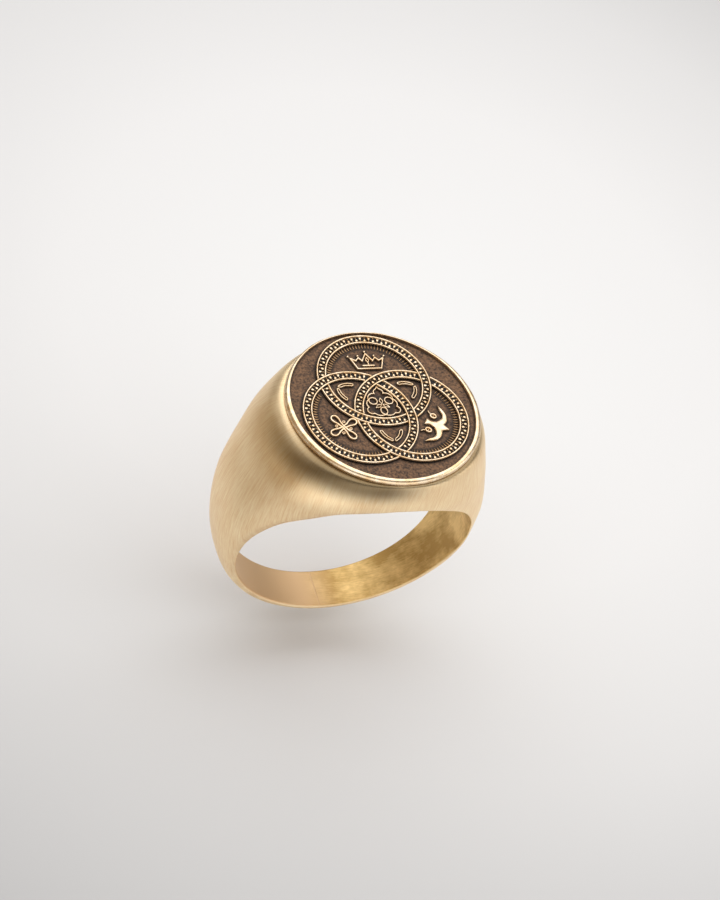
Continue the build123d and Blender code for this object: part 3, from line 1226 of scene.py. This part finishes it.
def makeTickSeed():
    # a ridge that runs down towards the ring's centre
    shape = tickShape
    half = shape["length"] / 2
    wide = shape["width"] / 2
    points = [(-half, -wide * 0.6, -0.01), (half, -wide, -0.01), (half, wide, -0.01),
              (-half, wide * 0.6, -0.01), (-half * 0.7, 0, shape["height"] * 0.6),
              (half, 0, shape["height"])]
    faces = [(3, 2, 1, 0), (0, 1, 5, 4), (2, 3, 4, 5), (1, 2, 5), (0, 4, 3)]
    return addObject("tickSeed", meshFrom("tickSeed", points, faces))


tickSeed = makeTickSeed()
for name, degrees, others in (("crown", 90, (210, 330)), ("cross", 210, (90, 330)), ("bird", 330, (90, 210))):
    values = rowValues(degrees, others, tickShape["radius"], tickShape["count"], tickSeed, 0.0,
                       bandOut + 0.16, 0.0)
    values["Material"] = wornGold
    ticks = makeRow(name + "RingTicks", values)
    reliefPoints.extend(tuple(v.co / mm) for v in list(ticks.data.vertices)[::2])

for seed in (toothSeed, tickSeed):
    bpy.data.objects.remove(seed)
print("teeth and ticks ready")


plateShape = {
    "cells": 240,
    "gritDepth": 0.016,        # mm, sand-blast relief
    "gritSize": 0.22,          # mm
    "halo": 0.17,              # mm over which the black stays beside the relief
    "tickSector": 100,         # degrees either side of each band's outward direction
    "slotFrom": 3.3,           # mm from the band's centre where the slots between the ticks begin
    "slotWander": 0.3,
    "rosetteBlack": (0.9, 1.3),
}


def makePlate():
    n = plateShape["cells"]
    tree = kdtree.KDTree(len(reliefPoints))
    for i, p in enumerate(reliefPoints):
        tree.insert(Vector((p[0], p[1], 0)), i)
    tree.balance()
    points = []
    soot = []
    for i in range(n + 1):
        for j in range(n + 1):
            u = 2 * i / n - 1
            v = 2 * j / n - 1
            # square to disc, without a pole
            x = plateRadius * u * math.sqrt(1 - v * v / 2) + plateCentre[0]
            y = plateRadius * v * math.sqrt(1 - u * u / 2) + plateCentre[1]
            grit = noise.noise(Vector((x, y, 0)) / plateShape["gritSize"])
            grit += 0.5 * noise.noise(Vector((x, y, 5)) / plateShape["gritSize"] * 2.1)
            points.append((x, y, plateTop + plateShape["gritDepth"] * (grit - 0.6)))
            _, _, near = tree.find(Vector((x, y, 0)))
            edge = plateRadius - math.hypot(x - plateCentre[0], y - plateCentre[1])
            near = min(near, edge + 0.05)
            black = math.exp(-(near / plateShape["halo"]) ** 2)
            for degrees in (90, 210, 330):
                ex, ey = np.array((x, y)) - ringCentre(degrees)
                away = math.hypot(ex, ey)
                off = abs((math.degrees(math.atan2(ey, ex)) - degrees + 180) % 360 - 180)
                if away < bandIn and off < plateShape["tickSector"]:
                    slot = 0.5 - 0.5 * math.cos(math.atan2(ey, ex) * tickShape["count"])
                    wander = plateShape["slotWander"] * noise.noise(Vector((x, y, 9)) / 0.35)
                    reach = plateShape["slotFrom"] + wander
                    black = max(black, (0.35 + 0.6 * slot) * float(smoothStep(away, reach, reach + 0.2)))
            toRosette = math.hypot(x - motif["centre"][0], y - motif["centre"][1])
            black = max(black, 0.9 * (1 - float(smoothStep(toRosette, *plateShape["rosetteBlack"]))))
            soot.append(black)
    faces = [f[::-1] for f in gridFaces(n + 1, n + 1)]
    border = [j for j in range(n)] + [i * (n + 1) + n for i in range(n)]
    border += [n * (n + 1) + j for j in range(n, 0, -1)] + [i * (n + 1) for i in range(n, 0, -1)]
    start = len(points)
    for k in border:
        points.append((points[k][0], points[k][1], seatHeight))
        soot.append(1.0)
    for k in range(len(border)):
        m = (k + 1) % len(border)
        faces.append((border[k], border[m], start + m, start + k))
    faces.append(tuple(range(start, start + len(border))))
    plate = makePiece("facePlateForm", points, faces, darkGround)
    storeAttribute(plate, "soot", soot)
    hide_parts("face_plate")
    return plate


makePlate()
print("plate ready")


stageShape = {
    "drop": 2.6,               # mm from the ring's foot to the floor, for the shadow set off below it
    "size": 1200,
    "centre": (17, 31),        # mm, centre of the painted pool of light, where the floor is palest
    # painted pool of light: distance in mm, colour
    "paintedLightPool": [(0, "#dfdfdf"), (30, "#dad9d9"), (50, "#cecdcd"), (75, "#b3b2b2"), (110, "#a5a4a4")],
}


def makeFloor():
    # pale floor with a painted pool of light, palest at its centre and darker with distance
    material, tree = newMaterial("paleFloorPaintedPool")
    space = addNode(tree, "ShaderNodeTexCoord")
    middle = [v * mm for v in stageShape["centre"]]
    flat = addNode(tree, "ShaderNodeVectorMath", {"operation": "MULTIPLY", 1: (1, 1, 0)},
                   {0: space.outputs["Object"]})
    away = addNode(tree, "ShaderNodeVectorMath", {"operation": "DISTANCE", 1: (*middle, 0)},
                   {0: flat.outputs[0]})
    reach = stageShape["paintedLightPool"][-1][0]
    share = addNode(tree, "ShaderNodeMapRange", {"From Max": reach * mm}, {"Value": away.outputs["Value"]})
    ramp = addNode(tree, "ShaderNodeValToRGB", {
        "stops": [(distance / reach, toLinear(colour)) for distance, colour in stageShape["paintedLightPool"]]},
        {"Fac": share.outputs[0]})
    shader = addNode(tree, "ShaderNodeBsdfPrincipled", {"Roughness": 0.85},
                     {"Base Color": ramp.outputs["Color"]})
    addNode(tree, "ShaderNodeOutputMaterial", {}, {"Surface": shader.outputs[0]})
    half = stageShape["size"] / 2
    z = cadLow.z / mm - stageShape["drop"]
    corners = [(-half, -half, z), (half, -half, z), (half, half, z), (-half, half, z)]
    floor = addObject("paleFloor", meshFrom("paleFloor", corners, [(0, 1, 2, 3)], smooth=False))
    floor.data.materials.append(material)


makeFloor()

cameraShape = {
    # degrees, then mm; right and up shift the camera across its own view
    "azimuth": -31.34,
    "elevation": 46.19,
    "roll": 21.60,
    "distance": 336.6,
    "right": 1.363,
    "up": 5.26,
    "lens": 166.34,
}


def cameraAxes():
    azimuth = math.radians(cameraShape["azimuth"])
    elevation = math.radians(cameraShape["elevation"])
    roll = math.radians(cameraShape["roll"])
    back = Vector((math.sin(azimuth) * math.cos(elevation), -math.cos(azimuth) * math.cos(elevation),
                   math.sin(elevation)))
    level = Vector((math.cos(azimuth), math.sin(azimuth), 0))
    upright = back.cross(level)
    right = level * math.cos(roll) + upright * math.sin(roll)
    up = back.cross(right)
    return right, up, back


def makeCamera():
    right, up, back = cameraAxes()
    data = bpy.data.cameras.new("fixedView")
    data.lens = cameraShape["lens"]
    data.sensor_width = 36
    data.clip_start = 0.01
    data.clip_end = 5
    camera = addObject("fixedView", data)
    turn = Matrix((right, up, back)).transposed().to_4x4()
    place = (right * cameraShape["right"] + up * cameraShape["up"] + back * cameraShape["distance"]) * mm
    camera.matrix_world = Matrix.Translation(place) @ turn
    bpy.context.scene.camera = camera


makeCamera()


def aimLight(name, size, energy, place, target=(0, 0, 0)):
    data = bpy.data.lights.new(name, "AREA")
    data.shape = "RECTANGLE"
    data.size = size[0] * mm
    data.size_y = size[1] * mm
    data.energy = energy
    light = addObject(name, data)
    place = Vector(place) * mm
    away = (place - Vector(target) * mm).to_track_quat("Z", "Y")
    light.matrix_world = Matrix.Translation(place) @ away.to_matrix().to_4x4()
    return light


# name, size in mm, watts, place and target in mm
aimLight("overheadSoftbox", (1050, 1050), 5.6, (30, 60, 450))
aimLight("rightSoftbox", (160, 200), 0.16, (260, -90, 60))
lowStrip = aimLight("lowFrontStrip", (120, 30), 0.0105, (-4, -42, 0), (0, -6, 3))
# the strip is only for the metal's gloss
lowStrip.visible_camera = False
lowStrip.visible_diffuse = False


cardShape = {
    # a tan card beside the ring, on the left, that only the metal mirrors
    "radius": 62,
    "from": 50,                # degrees from -X towards +Y
    "to": 50,                  # degrees from -X towards -Y
    "top": 50,
    "colour": "#b3a184",
}


def makeCard():
    material, tree = newMaterial("tanCardCloth")
    shader = addNode(tree, "ShaderNodeBsdfPrincipled", {"Base Color": toLinear(cardShape["colour"]),
                                                        "Roughness": 0.9})
    addNode(tree, "ShaderNodeOutputMaterial", {}, {"Surface": shader.outputs[0]})
    low = cadLow.z / mm - stageShape["drop"] + 0.5
    turns = np.radians(np.linspace(180 - cardShape["from"], 180 + cardShape["to"], 17))
    points = [(cardShape["radius"] * math.cos(t), cardShape["radius"] * math.sin(t), z)
              for t in turns for z in (low, cardShape["top"])]
    card = addObject("tanCard", meshFrom("tanCard", points, gridFaces(len(turns), 2), smooth=False))
    card.data.materials.append(material)
    card.visible_camera = False
    card.visible_diffuse = False
    card.visible_shadow = False


makeCard()


def makeWorld():
    world = bpy.data.worlds.new("studioAir")
    world.use_nodes = True
    tree = world.node_tree
    tree.nodes.clear()
    glow = addNode(tree, "ShaderNodeBackground", {"Color": toLinear("#b8b4ae"), "Strength": 0.52})
    addNode(tree, "ShaderNodeOutputWorld", {}, {"Surface": glow.outputs[0]})
    bpy.context.scene.world = world


makeWorld()
bpy.context.scene.view_settings.view_transform = "Standard"
print("stage ready")
